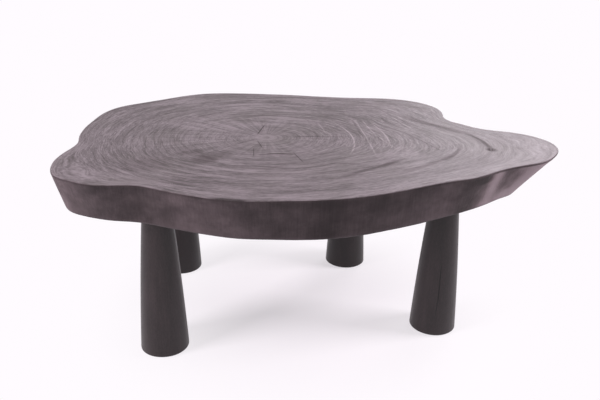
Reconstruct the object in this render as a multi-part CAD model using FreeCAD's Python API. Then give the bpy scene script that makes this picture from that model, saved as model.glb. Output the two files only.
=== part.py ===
"""Live edge coffee table: one cross-cut slab of a tree trunk on four turned, tapered legs.

Each leg screws up against the underside of the slab. A hanger bolt, with a wood thread in the leg and
a machine thread above it, turns into a threaded insert that is let into the slab. A plastic glide is
let into the foot of each leg and held by one countersunk screw.

Millimetres, +Z up, +X towards the beak of the slab. The origin is on the floor, under the middle of the
slab's box.
"""

import FreeCAD
import Part
import math
import os

from FreeCAD import Vector

# Slab
TABLE_HEIGHT = 420.0
SLAB_LENGTH = 1030.0
SLAB_WIDTH = 750.0
SLAB_THICKNESS = 78.0
TOP_EDGE_ROUND = 3.0
UNDERSIDE_EDGE_ROUND = 7.0

# The pith is the middle of the growth rings, and the point that the live edge is drawn in towards. Its
# place in plan is given in shares of the slab's length and width.
PITH_SHARES = (-0.112, -0.007)

# The live edge, counter-clockwise from the beak: plan position of the top edge, in shares of the slab's
# length and width, and how far the underside's edge is drawn in from there towards the pith.
LIVE_EDGE = [
    (0.504, -0.048, 82),
    (0.491, 0.027, 87),
    (0.434, 0.091, 62),
    (0.372, 0.121, 40),
    (0.335, 0.168, 36),
    (0.312, 0.204, 25),
    (0.305, 0.240, 21),
    (0.308, 0.300, 26),
    (0.297, 0.371, 27),
    (0.273, 0.416, 24),
    (0.196, 0.467, 22),
    (0.083, 0.472, 20),
    (-0.058, 0.493, 20),
    (-0.184, 0.503, 20),
    (-0.303, 0.475, 22),
    (-0.388, 0.384, 22),
    (-0.476, 0.269, 22),
    (-0.500, 0.104, 18),
    (-0.495, -0.033, 14),
    (-0.486, -0.087, 10),
    (-0.493, -0.184, 17),
    (-0.495, -0.262, 20),
    (-0.486, -0.313, 21),
    (-0.468, -0.358, 22),
    (-0.436, -0.388, 24),
    (-0.394, -0.414, 27),
    (-0.312, -0.411, 8),
    (-0.272, -0.434, 10),
    (-0.220, -0.463, 12),
    (-0.144, -0.493, 13),
    (-0.068, -0.487, 5),
    (0.029, -0.470, 2),
    (0.131, -0.419, 5),
    (0.238, -0.343, 10),
    (0.288, -0.312, 21),
    (0.335, -0.265, 22),
    (0.406, -0.208, 44),
    (0.449, -0.178, 62),
    (0.480, -0.130, 77),
]

# Legs. A seat is a bearing from the pith in degrees, counter-clockwise from +X, and how far the leg's
# axis stands in from the underside's edge along that bearing.
LEG_BASE_DIAMETER = 103.0
LEG_TOP_DIAMETER = 55.0
LEG_BELLY = 2.0
LEG_FOOT_ROUND = 2.5
LEG_SEATS = {
    "front_left": (221.0, 145.8),
    "front_right": (-10.5, 135.6),
    "rear_right": (49.0, 134.5),
    "rear_left": (140.5, 100.0),
}

# Hanger bolts
BOLT_DIAMETER = 10.0
BOLT_MACHINE_PITCH = 1.5
BOLT_MACHINE_THREAD_DEPTH = 0.9
BOLT_REACH_IN_SLAB = 29.0
BOLT_WOOD_PITCH = 4.0
BOLT_WOOD_THREAD_DEPTH = 1.4
BOLT_REACH_IN_LEG = 50.0
BOLT_PLAIN_LENGTH = 8.0
BOLT_POINT_LENGTH = 6.0
BOLT_TIP_ROOM = 3.0

# Threaded inserts
INSERT_DIAMETER = 18.0
INSERT_PITCH = 3.0
INSERT_THREAD_DEPTH = 1.5
INSERT_LENGTH = 25.0
INSERT_FLANGE_DIAMETER = 24.0
INSERT_FLANGE_THICKNESS = 2.0
INSERT_SOCKET_ACROSS_FLATS = 12.0
INSERT_SOCKET_DEPTH = 6.0

# Foot glides and their screws
GLIDE_DIAMETER = 46.0
GLIDE_RECESS = 3.0
GLIDE_PROUD = 2.0
GLIDE_EDGE_CHAMFER = 1.0
SCREW_DIAMETER = 4.5
SCREW_PITCH = 2.0
SCREW_THREAD_DEPTH = 0.7
SCREW_REACH_IN_LEG = 22.0
SCREW_POINT_LENGTH = 4.0
SCREW_HEAD_DIAMETER = 9.0
SCREW_HEAD_SUNK = 0.8
SCREW_DRIVE_ACROSS_FLATS = 3.0
SCREW_DRIVE_DEPTH = 1.5

# Clearances on the radius: of a thread in its own hole, and of a plain piece in its bore
THREAD_CLEARANCE = 0.05
BORE_CLEARANCE = 0.2

UNDERSIDE_HEIGHT = TABLE_HEIGHT - SLAB_THICKNESS
FOOT_HEIGHT = GLIDE_PROUD
RECESS_HEIGHT = GLIDE_PROUD + GLIDE_RECESS
UP = Vector(0, 0, 1)
PITH = Vector(PITH_SHARES[0] * SLAB_LENGTH, PITH_SHARES[1] * SLAB_WIDTH, 0)
LEVEL = 0.01


def turned(profile):
    """The solid that a closed profile of (radius, height) points sweeps about the Z axis."""
    points = [Vector(radius, 0, height) for radius, height in profile]
    outline = Part.makePolygon(points + points[:1])
    return Part.Face(outline).revolve(Vector(0, 0, 0), UP, 360)


def hexagon(across_flats, bottom, top):
    """An upright hexagonal prism on the Z axis between two heights."""
    reach = across_flats / 2 / math.cos(math.pi / 6)
    angles = [corner * math.pi / 3 for corner in range(6)]
    corners = [Vector(reach * math.cos(angle), reach * math.sin(angle), bottom) for angle in angles]
    return Part.Face(Part.makePolygon(corners + corners[:1])).extrude(UP * (top - bottom))


def thread(radius, depth, pitch, bottom, top):
    """Roots and crests of a thread from bottom to top, drawn as rings at the thread's pitch."""
    count = max(1, round((top - bottom) / pitch))
    step = (top - bottom) / count
    points = []
    for ring in range(count):
        points.append((radius - depth, bottom + ring * step))
        points.append((radius, bottom + (ring + 0.5) * step))
    points.append((radius - depth, top))
    return points


def level_edges(solid, height):
    """The edges of a solid that lie flat at one height."""
    return [e for e in solid.Edges if e.BoundBox.ZMin > height - LEVEL and e.BoundBox.ZMax < height + LEVEL]


def bolt_solid(growth=0.0):
    """The hanger bolt about the Z axis, or with growth on the radius the hole that takes it."""
    radius = BOLT_DIAMETER / 2 + growth
    seat = UNDERSIDE_HEIGHT
    plain_bottom = seat - BOLT_PLAIN_LENGTH / 2
    plain_top = seat + BOLT_PLAIN_LENGTH / 2
    foot = seat - BOLT_REACH_IN_LEG
    head = seat + BOLT_REACH_IN_SLAB
    profile = [(0, foot - growth)]
    point_top = foot + BOLT_POINT_LENGTH
    profile += thread(radius, BOLT_WOOD_THREAD_DEPTH, BOLT_WOOD_PITCH, point_top, plain_bottom)
    profile += [(radius, plain_bottom), (radius, plain_top)]
    profile += thread(radius, BOLT_MACHINE_THREAD_DEPTH, BOLT_MACHINE_PITCH, plain_top, head)
    profile += [(0, head + growth)]
    return turned(profile)


def insert_blank(growth=0.0):
    """The threaded insert's outside about the Z axis, or with growth the bore that takes it."""
    radius = INSERT_DIAMETER / 2 + growth
    flange = INSERT_FLANGE_DIAMETER / 2 + growth
    seat = UNDERSIDE_HEIGHT
    flange_top = seat + INSERT_FLANGE_THICKNESS
    profile = [(0, seat), (flange, seat), (flange, flange_top)]
    profile += thread(radius, INSERT_THREAD_DEPTH, INSERT_PITCH, flange_top, seat + INSERT_LENGTH)
    profile += [(0, seat + INSERT_LENGTH)]
    return turned(profile)


def screw_solid(growth=0.0):
    """The glide's countersunk screw, head down about the Z axis, or with growth its hole."""
    radius = SCREW_DIAMETER / 2 + growth
    head_radius = SCREW_HEAD_DIAMETER / 2 + growth
    neck = SCREW_HEAD_SUNK + (SCREW_HEAD_DIAMETER - SCREW_DIAMETER) / 2
    tip = RECESS_HEIGHT + SCREW_REACH_IN_LEG
    profile = [(0, SCREW_HEAD_SUNK), (head_radius, SCREW_HEAD_SUNK), (radius, neck)]
    profile += thread(radius, SCREW_THREAD_DEPTH, SCREW_PITCH, neck, tip - SCREW_POINT_LENGTH)
    profile += [(0, tip + growth)]
    return turned(profile)


def live_edge_wires():
    """The closed smooth curves of the underside's edge and of the top edge, paired point by point."""
    top = []
    underside = []
    for x_share, y_share, drawn_in in LIVE_EDGE:
        plan = Vector(x_share * SLAB_LENGTH, y_share * SLAB_WIDTH, 0)
        inwards = (PITH - plan).normalize()
        top.append(plan + UP * TABLE_HEIGHT)
        underside.append(plan + inwards * drawn_in + UP * UNDERSIDE_HEIGHT)
    lengths_along = [0.0]
    for start, end in zip(top, top[1:] + top[:1]):
        lengths_along.append(lengths_along[-1] + start.distanceToPoint(end))
    wires = []
    for points in (underside, top):
        curve = Part.BSplineCurve()
        curve.interpolate(Points=points, PeriodicFlag=True, Parameters=lengths_along)
        wires.append(Part.Wire(curve.toShape()))
    return wires


def leg_axis(seat, underside_wire):
    """The plan position of a leg's axis, set in from the underside's edge along the seat's bearing."""
    bearing, set_in = seat
    outwards = Vector(math.cos(math.radians(bearing)), math.sin(math.radians(bearing)), 0)
    start = PITH + UP * UNDERSIDE_HEIGHT
    ray = Part.LineSegment(start, start + outwards * underside_wire.BoundBox.DiagonalLength).toShape()
    edge_point = underside_wire.distToShape(ray)[1][0][0]
    axis = edge_point - outwards * set_in
    return Vector(axis.x, axis.y, 0)


def slab_blank(underside_wire, top_wire):
    """The trunk's cross-cut: its flared side between the two live edges, with both edges eased."""
    solid = Part.makeLoft([underside_wire, top_wire], True, True)
    solid = solid.makeFillet(UNDERSIDE_EDGE_ROUND, level_edges(solid, UNDERSIDE_HEIGHT))
    return solid.makeFillet(TOP_EDGE_ROUND, level_edges(solid, TABLE_HEIGHT))


def insert_bore():
    """What is bored out of the slab for one insert and for the tip of its bolt."""
    tip_radius = BOLT_DIAMETER / 2 + BORE_CLEARANCE
    tip_depth = max(BOLT_REACH_IN_SLAB, INSERT_LENGTH) + BOLT_TIP_ROOM
    tip_bore = Part.makeCylinder(tip_radius, tip_depth, UP * UNDERSIDE_HEIGHT)
    return insert_blank(THREAD_CLEARANCE).fuse(tip_bore)


def threaded_insert():
    """The insert with its machine-threaded bore and the hexagonal socket that drives it in."""
    socket_top = UNDERSIDE_HEIGHT + INSERT_SOCKET_DEPTH
    socket = hexagon(INSERT_SOCKET_ACROSS_FLATS, UNDERSIDE_HEIGHT, socket_top)
    return insert_blank().cut([bolt_solid(THREAD_CLEARANCE), socket])


def leg():
    """A turned leg, wider at the foot, with a slightly bellied side, a bolt hole and a glide recess."""
    base_radius = LEG_BASE_DIAMETER / 2
    top_radius = LEG_TOP_DIAMETER / 2
    middle_radius = (base_radius + top_radius) / 2 + LEG_BELLY
    foot_middle = UP * FOOT_HEIGHT
    foot_edge = Vector(base_radius, 0, FOOT_HEIGHT)
    belly = Vector(middle_radius, 0, (FOOT_HEIGHT + UNDERSIDE_HEIGHT) / 2)
    top_edge = Vector(top_radius, 0, UNDERSIDE_HEIGHT)
    top_middle = UP * UNDERSIDE_HEIGHT
    outline = [
        Part.LineSegment(foot_middle, foot_edge).toShape(),
        Part.Arc(foot_edge, belly, top_edge).toShape(),
        Part.LineSegment(top_edge, top_middle).toShape(),
        Part.LineSegment(top_middle, foot_middle).toShape(),
    ]
    blank = Part.Face(Part.Wire(outline)).revolve(Vector(0, 0, 0), UP, 360)
    blank = blank.makeFillet(LEG_FOOT_ROUND, level_edges(blank, FOOT_HEIGHT))
    recess = Part.makeCylinder(GLIDE_DIAMETER / 2 + BORE_CLEARANCE, GLIDE_RECESS, foot_middle)
    return blank.cut([recess, bolt_solid(THREAD_CLEARANCE), screw_solid(THREAD_CLEARANCE)])


def foot_glide():
    """A plastic disc that the table stands on, chamfered below and countersunk for its screw."""
    radius = GLIDE_DIAMETER / 2
    profile = [
        (0, 0),
        (radius - GLIDE_EDGE_CHAMFER, 0),
        (radius, GLIDE_EDGE_CHAMFER),
        (radius, RECESS_HEIGHT),
        (0, RECESS_HEIGHT),
    ]
    way_in = Part.makeCylinder(SCREW_HEAD_DIAMETER / 2 + THREAD_CLEARANCE, SCREW_HEAD_SUNK)
    shank_way = Part.makeCylinder(SCREW_DIAMETER / 2 + THREAD_CLEARANCE, RECESS_HEIGHT)
    return turned(profile).cut([screw_solid(THREAD_CLEARANCE), way_in, shank_way])


def glide_screw():
    """The screw with the hexagonal drive in its head."""
    drive = hexagon(SCREW_DRIVE_ACROSS_FLATS, SCREW_HEAD_SUNK, SCREW_HEAD_SUNK + SCREW_DRIVE_DEPTH)
    return screw_solid().cut(drive)


def main():
    underside_wire, top_wire = live_edge_wires()
    slab = slab_blank(underside_wire, top_wire)
    box = slab.optimalBoundingBox()
    to_origin = Vector(-box.Center.x, -box.Center.y, 0)
    makers = {
        "leg": leg,
        "hanger_bolt": bolt_solid,
        "threaded_insert": threaded_insert,
        "foot_glide": foot_glide,
        "glide_screw": glide_screw,
    }
    pieces = {}
    for place, seat in LEG_SEATS.items():
        axis = leg_axis(seat, underside_wire)
        slab = slab.cut(insert_bore().translated(axis))
        for kind, make in makers.items():
            pieces[f"{kind}_{place}"] = make().translated(axis + to_origin)
        print(f"leg axis {place}: {axis + to_origin}")
    pieces["slab_top"] = slab.translated(to_origin)
    os.makedirs("parts", exist_ok=True)
    for name, piece in pieces.items():
        piece.exportStep(f"parts/{name}.step")
        print(f"{name}: valid {piece.isValid()}, solids {len(piece.Solids)}, {piece.Volume:.0f} mm3")
    print(f"slab box {pieces['slab_top'].optimalBoundingBox()}, pith {PITH + to_origin}")


main()
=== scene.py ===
# %% [markdown]
# # A live edge coffee table
#
# One slice of a tree trunk, stained charcoal, stands on four turned legs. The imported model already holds
# every piece at its real size, so this lesson only adds what the eye looks for: growth rings and drying
# checks in the top, the hewn side under the live edge, the grain of the legs, and a finish on each
# surface. Everything is in metres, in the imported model's own frame: +X towards the beak, +Y towards the
# back, +Z up.

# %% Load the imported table
import math

import bpy
import numpy as np
from mathutils import Matrix, Vector


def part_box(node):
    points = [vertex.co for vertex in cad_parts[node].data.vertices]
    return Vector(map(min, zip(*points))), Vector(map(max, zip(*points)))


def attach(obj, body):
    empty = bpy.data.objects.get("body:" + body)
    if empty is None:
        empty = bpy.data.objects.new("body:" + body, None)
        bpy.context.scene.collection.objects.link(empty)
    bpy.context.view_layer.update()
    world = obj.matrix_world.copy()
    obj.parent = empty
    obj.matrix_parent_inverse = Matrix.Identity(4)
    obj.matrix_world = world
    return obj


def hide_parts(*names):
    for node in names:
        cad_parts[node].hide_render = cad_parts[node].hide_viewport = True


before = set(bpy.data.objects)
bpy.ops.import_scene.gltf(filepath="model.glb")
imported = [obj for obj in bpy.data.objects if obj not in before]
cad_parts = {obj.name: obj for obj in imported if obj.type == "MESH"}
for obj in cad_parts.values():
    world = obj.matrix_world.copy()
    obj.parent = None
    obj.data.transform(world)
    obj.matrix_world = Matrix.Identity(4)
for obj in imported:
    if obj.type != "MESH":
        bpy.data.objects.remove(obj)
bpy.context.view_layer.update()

LEG_PLACES = ("front_left", "front_right", "rear_right", "rear_left")
MM = 0.001

# %% [markdown]
# ## The camera
#
# A picture can only be compared with the photograph if both are taken from the same place. The four legs
# are alike and upright, so their outlines in the photograph fix the camera: its focal length in pixels,
# how far it tips down, a slight roll, and its place. A camera could also be aimed by a Track To
# constraint, but that can't hold a roll, so the three axes are written straight into its matrix.

# %% Place the camera
PHOTO_WIDTH_PX = 600
FOCAL_LENGTH_PX = 693.0
SENSOR_WIDTH_MM = 36.0
CAMERA_PLACE = (-0.0309, -1.4488, 0.875)
TIPPED_DOWN = math.radians(22.73)
ROLLED = math.radians(1.18)
HALF_PIXEL = 0.5 / PHOTO_WIDTH_PX


def photo_camera():
    """Camera whose view axis tips down by one angle, with right and up then rolled about that axis."""
    ahead = np.array([0.0, math.cos(TIPPED_DOWN), -math.sin(TIPPED_DOWN)])
    up = np.array([0.0, math.sin(TIPPED_DOWN), math.cos(TIPPED_DOWN)])
    right = np.array([1.0, 0.0, 0.0])
    rolled_right = right * math.cos(ROLLED) + up * math.sin(ROLLED)
    rolled_up = up * math.cos(ROLLED) - right * math.sin(ROLLED)
    camera = bpy.data.objects.new("photo_camera", bpy.data.cameras.new("photo_camera"))
    bpy.context.scene.collection.objects.link(camera)
    camera.data.sensor_width = SENSOR_WIDTH_MM
    camera.data.lens = SENSOR_WIDTH_MM * FOCAL_LENGTH_PX / PHOTO_WIDTH_PX
    camera.data.shift_x = -HALF_PIXEL
    camera.data.shift_y = HALF_PIXEL
    turn = np.column_stack([rolled_right, rolled_up, -ahead])
    camera.matrix_world = Matrix.Translation(CAMERA_PLACE) @ Matrix(turn.tolist()).to_4x4()
    bpy.context.scene.camera = camera
    return camera


print("camera lens in mm:", round(photo_camera().data.lens, 2))

# %% [markdown]
# ## Surfaces from grids
#
# Both the slab and the legs are closed skins that wrap round an upright axis, so one helper can build
# them: a grid of points whose columns go round and whose rows run from a pole under the piece to a pole
# on top. Writing whole arrays into the mesh is much faster than placing points one by one.

# %% A closed skin from a grid
def wrapped_skin(name, rows, first_pole, last_pole, attributes):
    """Mesh of a grid that is closed round its columns, with a fan of triangles from each pole.

    Rows are (row, column, xyz). A quad joins each point to the next column and the next row, so that the
    faces look outwards when columns run counter-clockwise and rows run upwards along the outside. Each
    attribute holds one number per grid point, and a pole takes the mean of the row beside it.
    """
    count, columns = rows.shape[:2]
    index = np.arange(count * columns).reshape(count, columns)
    beside = np.roll(index, -1, axis=1)
    quads = np.stack([index[:-1], beside[:-1], beside[1:], index[1:]], axis=-1).reshape(-1, 4)
    low_pole = np.full(columns, count * columns)
    low_fan = np.stack([low_pole, beside[0], index[0]], axis=-1)
    high_fan = np.stack([index[-1], beside[-1], low_pole + 1], axis=-1)
    points = np.vstack([rows.reshape(-1, 3), first_pole, last_pole])
    mesh = bpy.data.meshes.new(name)
    mesh.from_pydata(points.tolist(), [], quads.tolist() + low_fan.tolist() + high_fan.tolist())
    for key, values in attributes.items():
        ends = [values[0].mean(), values[-1].mean()]
        layer = mesh.attributes.new(key, "FLOAT", "POINT")
        layer.data.foreach_set("value", np.append(values.ravel(), ends).astype(np.float32))
    mesh.shade_smooth()
    mesh.validate()
    piece = bpy.data.objects.new(name, mesh)
    bpy.context.scene.collection.objects.link(piece)
    return piece


def smooth_step(low, high, values):
    """0 below low, 1 above high, and an S-shaped cubic between them."""
    share = np.clip((values - low) / (high - low), 0.0, 1.0)
    return share * share * (3.0 - 2.0 * share)


def waves(points, wavelength, seed, count=24):
    """Smooth noise between about -1 and 1: a sum of sine waves with random directions and phases.

    Each wave's length lies within a third of the given wavelength. Points may be stretched beforehand to
    stretch the noise.
    """
    draw = np.random.default_rng(seed)
    directions = draw.normal(size=(count, 3))
    directions /= np.linalg.norm(directions, axis=1, keepdims=True)
    lengths = wavelength * draw.uniform(0.67, 1.33, count)
    phases = draw.uniform(0.0, 2.0 * np.pi, count)
    total = np.sin(points @ (2.0 * np.pi * directions / lengths[:, None]).T + phases).sum(axis=-1)
    return total / math.sqrt(count)


print("smooth step a quarter and half of the way:", smooth_step(0.0, 1.0, np.array([0.25, 0.5])))

# %% [markdown]
# ## The slab's outline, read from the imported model
#
# The live edge is the table's character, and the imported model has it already, so it is measured there and
# never typed in again. Cutting the slab's triangles with a level plane gives points of the edge at that
# height. Seen from the pith, the edge is met once in every direction, so a cut becomes a distance for
# each bearing, and a stack of cuts becomes the whole side.

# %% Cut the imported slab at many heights
PITH = np.array([-0.107, -0.014])
SLAB_COLUMNS = 720
SAMPLES_PER_COLUMN = 8
BORE_REACH = 0.025
UNDERSIDE_ROUND = 7.0 * MM
ROUND_ANGLES = np.radians([6, 18, 30, 42, 54, 66, 78])
SIDE_CUTS = 19
TOP_RIM = 6.5 * MM
TOP_RIM_DEPTHS = np.array([5.4, 4.4, 3.6, 2.9, 2.3, 1.7, 1.15, 0.7, 0.35, 0.12, 0.02]) * MM
UNDERSIDE, TABLE_TOP = np.array(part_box("slab_top"))[:, 2]


def leg_axis(place):
    """Plan position of a leg's axis: the middle of its box."""
    return np.array(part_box(f"leg_{place}"))[:, :2].mean(axis=0)


LEG_AXES = {place: leg_axis(place) for place in LEG_PLACES}


def triangles_of(node):
    """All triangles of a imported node, as an array of (triangle, corner, xyz)."""
    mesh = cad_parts[node].data
    mesh.calc_loop_triangles()
    places = np.empty(len(mesh.vertices) * 3)
    mesh.vertices.foreach_get("co", places)
    corners = np.empty(len(mesh.loop_triangles) * 3, dtype=np.int64)
    mesh.loop_triangles.foreach_get("vertices", corners)
    return places.reshape(-1, 3)[corners.reshape(-1, 3)]


def level_cut(triangles, height):
    """Plan points where the sides of triangles cross a height.

    Each crossing divides its side in the ratio of the two ends' heights above and below the cut.
    """
    start = triangles
    end = np.roll(triangles, -1, axis=1)
    crosses = (start[..., 2] < height) != (end[..., 2] < height)
    start, end = start[crosses], end[crosses]
    share = (height - start[:, 2]) / (end[:, 2] - start[:, 2])
    return (start + (end - start) * share[:, None])[:, :2]


def edge_distance(triangles, height, bearings):
    """Distance of the slab's edge from the pith for each bearing, at one height.

    Points close to a leg's axis belong to the bore for its bolt and are left out.
    """
    cut = level_cut(triangles, height)
    for axis in LEG_AXES.values():
        cut = cut[np.linalg.norm(cut - axis, axis=1) > BORE_REACH]
    offset = cut - PITH
    found = np.arctan2(offset[:, 1], offset[:, 0])
    return np.interp(bearings, found, np.linalg.norm(offset, axis=1), period=2.0 * np.pi)


def even_bearings(triangles, count):
    """Bearings that split the edge, half way up the slab, into equal parts of its running length."""
    fine = np.linspace(-np.pi, np.pi, SAMPLES_PER_COLUMN * count + 1)
    distance = edge_distance(triangles, (UNDERSIDE + TABLE_TOP) / 2, fine)
    edge = np.stack([distance * np.cos(fine), distance * np.sin(fine)], axis=-1)
    running = np.append(0.0, np.cumsum(np.linalg.norm(np.diff(edge, axis=0), axis=1)))
    return np.interp(np.linspace(0.0, running[-1], count, endpoint=False), running, fine)


slab_triangles = triangles_of("slab_top")
bearings = even_bearings(slab_triangles, SLAB_COLUMNS)
low_rim = UNDERSIDE + UNDERSIDE_ROUND * (1.0 - np.cos(ROUND_ANGLES))
middle = np.linspace(UNDERSIDE + UNDERSIDE_ROUND, TABLE_TOP - TOP_RIM, SIDE_CUTS)
high_rim = TABLE_TOP - TOP_RIM_DEPTHS
side_heights = np.concatenate([low_rim, middle, high_rim])
side_distance = np.stack([edge_distance(slab_triangles, height, bearings) for height in side_heights])
print("slab cut at", len(side_heights), "heights; edge lies", side_distance.min().round(3), "to",
      side_distance.max().round(3), "m from the pith")

# %% [markdown]
# ## The hewn side
#
# Under the bark a trunk is never quite smooth: it has shallow flutes that run with the fibres. Here a
# tool has been at the beak as well. There is a notch where it begins, a hollow on its front, and a shave
# below the rim at its nose. All of them only take wood away, so the slab stays inside its box. A sculpted
# mesh or a Displace modifier could do this too, but a formula on the stack of cuts keeps the top edge and
# the side exactly joined.

# %% Flutes, notch, hollow and shave
FLUTE_DEPTH = 1.4 * MM
FLUTE_WIDTH = 0.11
FLUTE_STRETCH = 0.35
NOTCH_DEPTH = 3.0 * MM
NOTCH_HEIGHTS = np.array([56.0, 64.0, 72.0, 77.0]) * MM
NOTCH_BEARINGS = (-23.6, 0.7)
HOLLOW_DEPTH = 1.2 * MM
HOLLOW_HEIGHTS = np.array([20.0, 50.0, 68.0, 77.0]) * MM
HOLLOW_BEARINGS = (-15.8, 1.1)
SHAVE_DEPTH = 2.2 * MM
SHAVE_HEIGHTS = np.array([48.0, 66.0, 71.0, 77.5]) * MM
SHAVE_BEARINGS = (-6.0, 5.0)


def plateau(values, stops):
    """0 outside the four stops, 1 between the middle two, with smooth slopes from 0 to 1 and back."""
    return smooth_step(stops[0], stops[1], values) * (1.0 - smooth_step(stops[2], stops[3], values))


def bell(bearings, middle, spread):
    """1 at the middle bearing, falling off on both sides as a bell curve. Middle and spread are degrees."""
    return np.exp(-(((np.degrees(bearings) - middle) / spread) ** 2))


def hewn_depth(distance, heights, bearings):
    """How much wood is taken off the side, towards the pith: half-raised waves, hollow, notch and shave."""
    upwards = np.broadcast_to(heights[:, None] * FLUTE_STRETCH, distance.shape)
    spread = np.dstack([distance * np.cos(bearings), distance * np.sin(bearings), upwards])
    flutes = np.clip(0.5 + 0.5 * waves(spread, FLUTE_WIDTH, seed=11), 0.0, 1.0) * FLUTE_DEPTH
    above = heights - UNDERSIDE
    hollow = np.outer(plateau(above, HOLLOW_HEIGHTS), bell(bearings, *HOLLOW_BEARINGS))
    notch = np.outer(plateau(above, NOTCH_HEIGHTS), bell(bearings, *NOTCH_BEARINGS))
    shave = np.outer(plateau(above, SHAVE_HEIGHTS), bell(bearings, *SHAVE_BEARINGS))
    return flutes + hollow * HOLLOW_DEPTH + notch * NOTCH_DEPTH + shave * SHAVE_DEPTH


taken_off = hewn_depth(side_distance, side_heights, bearings)
side_distance = side_distance - taken_off
print("wood taken off the side: up to", (taken_off.max() / MM).round(1), "mm")

# %% [markdown]
# ## Wear, painted light and painted shade on the side
#
# Stain wears off where a slab is handled and dragged, and the side is partly worn on its corners and on
# the beak. On top of that, it is painted lighter where it faces the lamps or the white floor: the left
# corner, the front left lobe, the shoulder, and most of all the ridge and the nose of the beak. The waist,
# the front, the neck, the hollow and the notch are painted shade. Each place is a bell curve over the
# bearings, and together they make one number, which the mesh keeps and the paint reads. Vertex colours
# painted by hand would do as well, but a bell is easier to move.

# %% Painted light, painted shade and wear on the side
# Bearing and spread in degrees, and a share: above 0 is paler, as painted light and wear, below 0 is
# darker, as painted shade.
PAINTED_LIGHT_AND_WEAR_PLACES = {
    "left corner": (-145.0, 8.0, 0.35),
    "waist": (-127.0, 6.0, -0.35),
    "front left lobe": (-107.0, 7.0, 0.3),
    "front": (-72.0, 18.0, -0.33),
    "shoulder": (-36.5, 4.0, 0.3),
    "neck": (-29.5, 2.5, -0.45),
    "ridge of the beak": (-21.8, 2.3, 1.45),
    "nose of the beak": (-11.4, 4.4, 2.7),
}
# The foot under the hollow is painted light, as from the floor. The hollow and the notch are painted shade.
FLOOR_LIT_FOOT_HEIGHTS = (10.0 * MM, 45.0 * MM)
FLOOR_LIT_FOOT_BEARINGS = (-17.6, 2.2)
FLOOR_LIT_FOOT = 0.9
HOLLOW_SHADE_HEIGHTS = np.array([18.0, 32.0, 54.0, 68.0]) * MM
HOLLOW_SHADE = 0.6
NOTCH_SHADE_BEARINGS = (-25.0, 2.0)
NOTCH_SHADE = 1.6
LIGHT_AND_WEAR_BEGIN = (0.0, 1.5 * MM)
# Near the top rim most of it fades out, which leaves painted shade under the rim at the nose.
LIGHT_AND_WEAR_END = (72.5 * MM, 75.5 * MM)
LOST_AT_RIM = 0.8


def painted_light_and_wear(heights, bearings):
    """How pale or dark the side is painted: a sum of bells, one for each place.

    The bells are partly wear and partly painted light and shade. It is paler low down below the hollow, as
    painted light from the floor, darker in the hollow and the notch, as painted shade, 0 on the underside,
    and mostly lost at the top rim, which leaves painted shade under the rim at the nose.
    """
    above = heights - UNDERSIDE
    light_and_wear = sum(share * bell(bearings, middle, spread) for middle, spread, share in PAINTED_LIGHT_AND_WEAR_PLACES.values())
    foot = np.outer(1.0 - smooth_step(*FLOOR_LIT_FOOT_HEIGHTS, above), bell(bearings, *FLOOR_LIT_FOOT_BEARINGS))
    hollow = np.outer(plateau(above, HOLLOW_SHADE_HEIGHTS), bell(bearings, *HOLLOW_BEARINGS))
    notch = np.outer(plateau(above, NOTCH_HEIGHTS), bell(bearings, *NOTCH_SHADE_BEARINGS))
    light_and_wear = light_and_wear + FLOOR_LIT_FOOT * foot - HOLLOW_SHADE * hollow - NOTCH_SHADE * notch
    on_side = smooth_step(*LIGHT_AND_WEAR_BEGIN, above) * (1.0 - LOST_AT_RIM * smooth_step(*LIGHT_AND_WEAR_END, above))
    return light_and_wear * on_side[:, None]


side_light_and_wear = painted_light_and_wear(side_heights, bearings)
print("worn share on the side:", side_light_and_wear.min().round(2), "to", side_light_and_wear.max().round(2))

# %% [markdown]
# ## Growth rings
#
# Near the pith the rings are almost round, and further out they follow the trunk's outline, so they are
# pointed towards the beak. One number can hold that: the ring coordinate, a point's distance from the
# pith divided by the distance of a shape that changes from an oval to the outline on the way out. Circles
# about the pith would be simpler, but the edge would cut across them. The number is kept on the mesh, and
# both the relief and the paint read it.

# %% The ring coordinate
OVAL_LENGTH = 1.12
FEW_LOBES = 3.5
MANY_LOBES = 8.0
OUTLINE_SAMPLES = 1024
MEAN_RADIUS = 0.43
OVAL_TO_SOFT = (0.10, 0.70)
SOFT_TO_EDGE = (0.85, 1.0)
TOWARDS_BEAK = (-0.2, 0.6)


def soft_outline(edge, bearings, lobes):
    """The outline without its small lobes: each Fourier term is faded by its number of lobes squared."""
    even = np.linspace(-np.pi, np.pi, OUTLINE_SAMPLES, endpoint=False)
    terms = np.fft.rfft(np.interp(even, bearings, edge, period=2.0 * np.pi))
    terms *= np.exp(-((np.arange(len(terms)) / lobes) ** 2))
    return np.interp(bearings, even, np.fft.irfft(terms, len(even)), period=2.0 * np.pi)


def ring_coordinate(distance, edge, bearings):
    """Growth ring of a point, in metres of mean radius.

    The point's distance from the pith is divided by a shape: an oval at the pith, which changes smoothly
    into a soft outline on the way out and into the outline itself close to the edge. Towards the beak the
    soft outline keeps more of its lobes.
    """
    oval = MEAN_RADIUS / np.hypot(np.cos(bearings) / OVAL_LENGTH, np.sin(bearings))
    share = distance / edge
    to_soft = smooth_step(*OVAL_TO_SOFT, share)
    to_edge = smooth_step(*SOFT_TO_EDGE, share)
    to_beak = smooth_step(*TOWARDS_BEAK, np.cos(bearings))
    few, many = (soft_outline(edge[-1], bearings, lobes) for lobes in (FEW_LOBES, MANY_LOBES))
    soft = few * (1.0 - to_beak) + many * to_beak
    shape = (oval * (1.0 - to_soft) + soft * to_soft) * (1.0 - to_edge) + edge * to_edge
    return MEAN_RADIUS * distance / shape


half_way = ring_coordinate(side_distance[-1:] / 2, side_distance[-1:], bearings)
print("ring coordinate half way out:", half_way.min().round(3), "to", half_way.max().round(3), "m")
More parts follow.
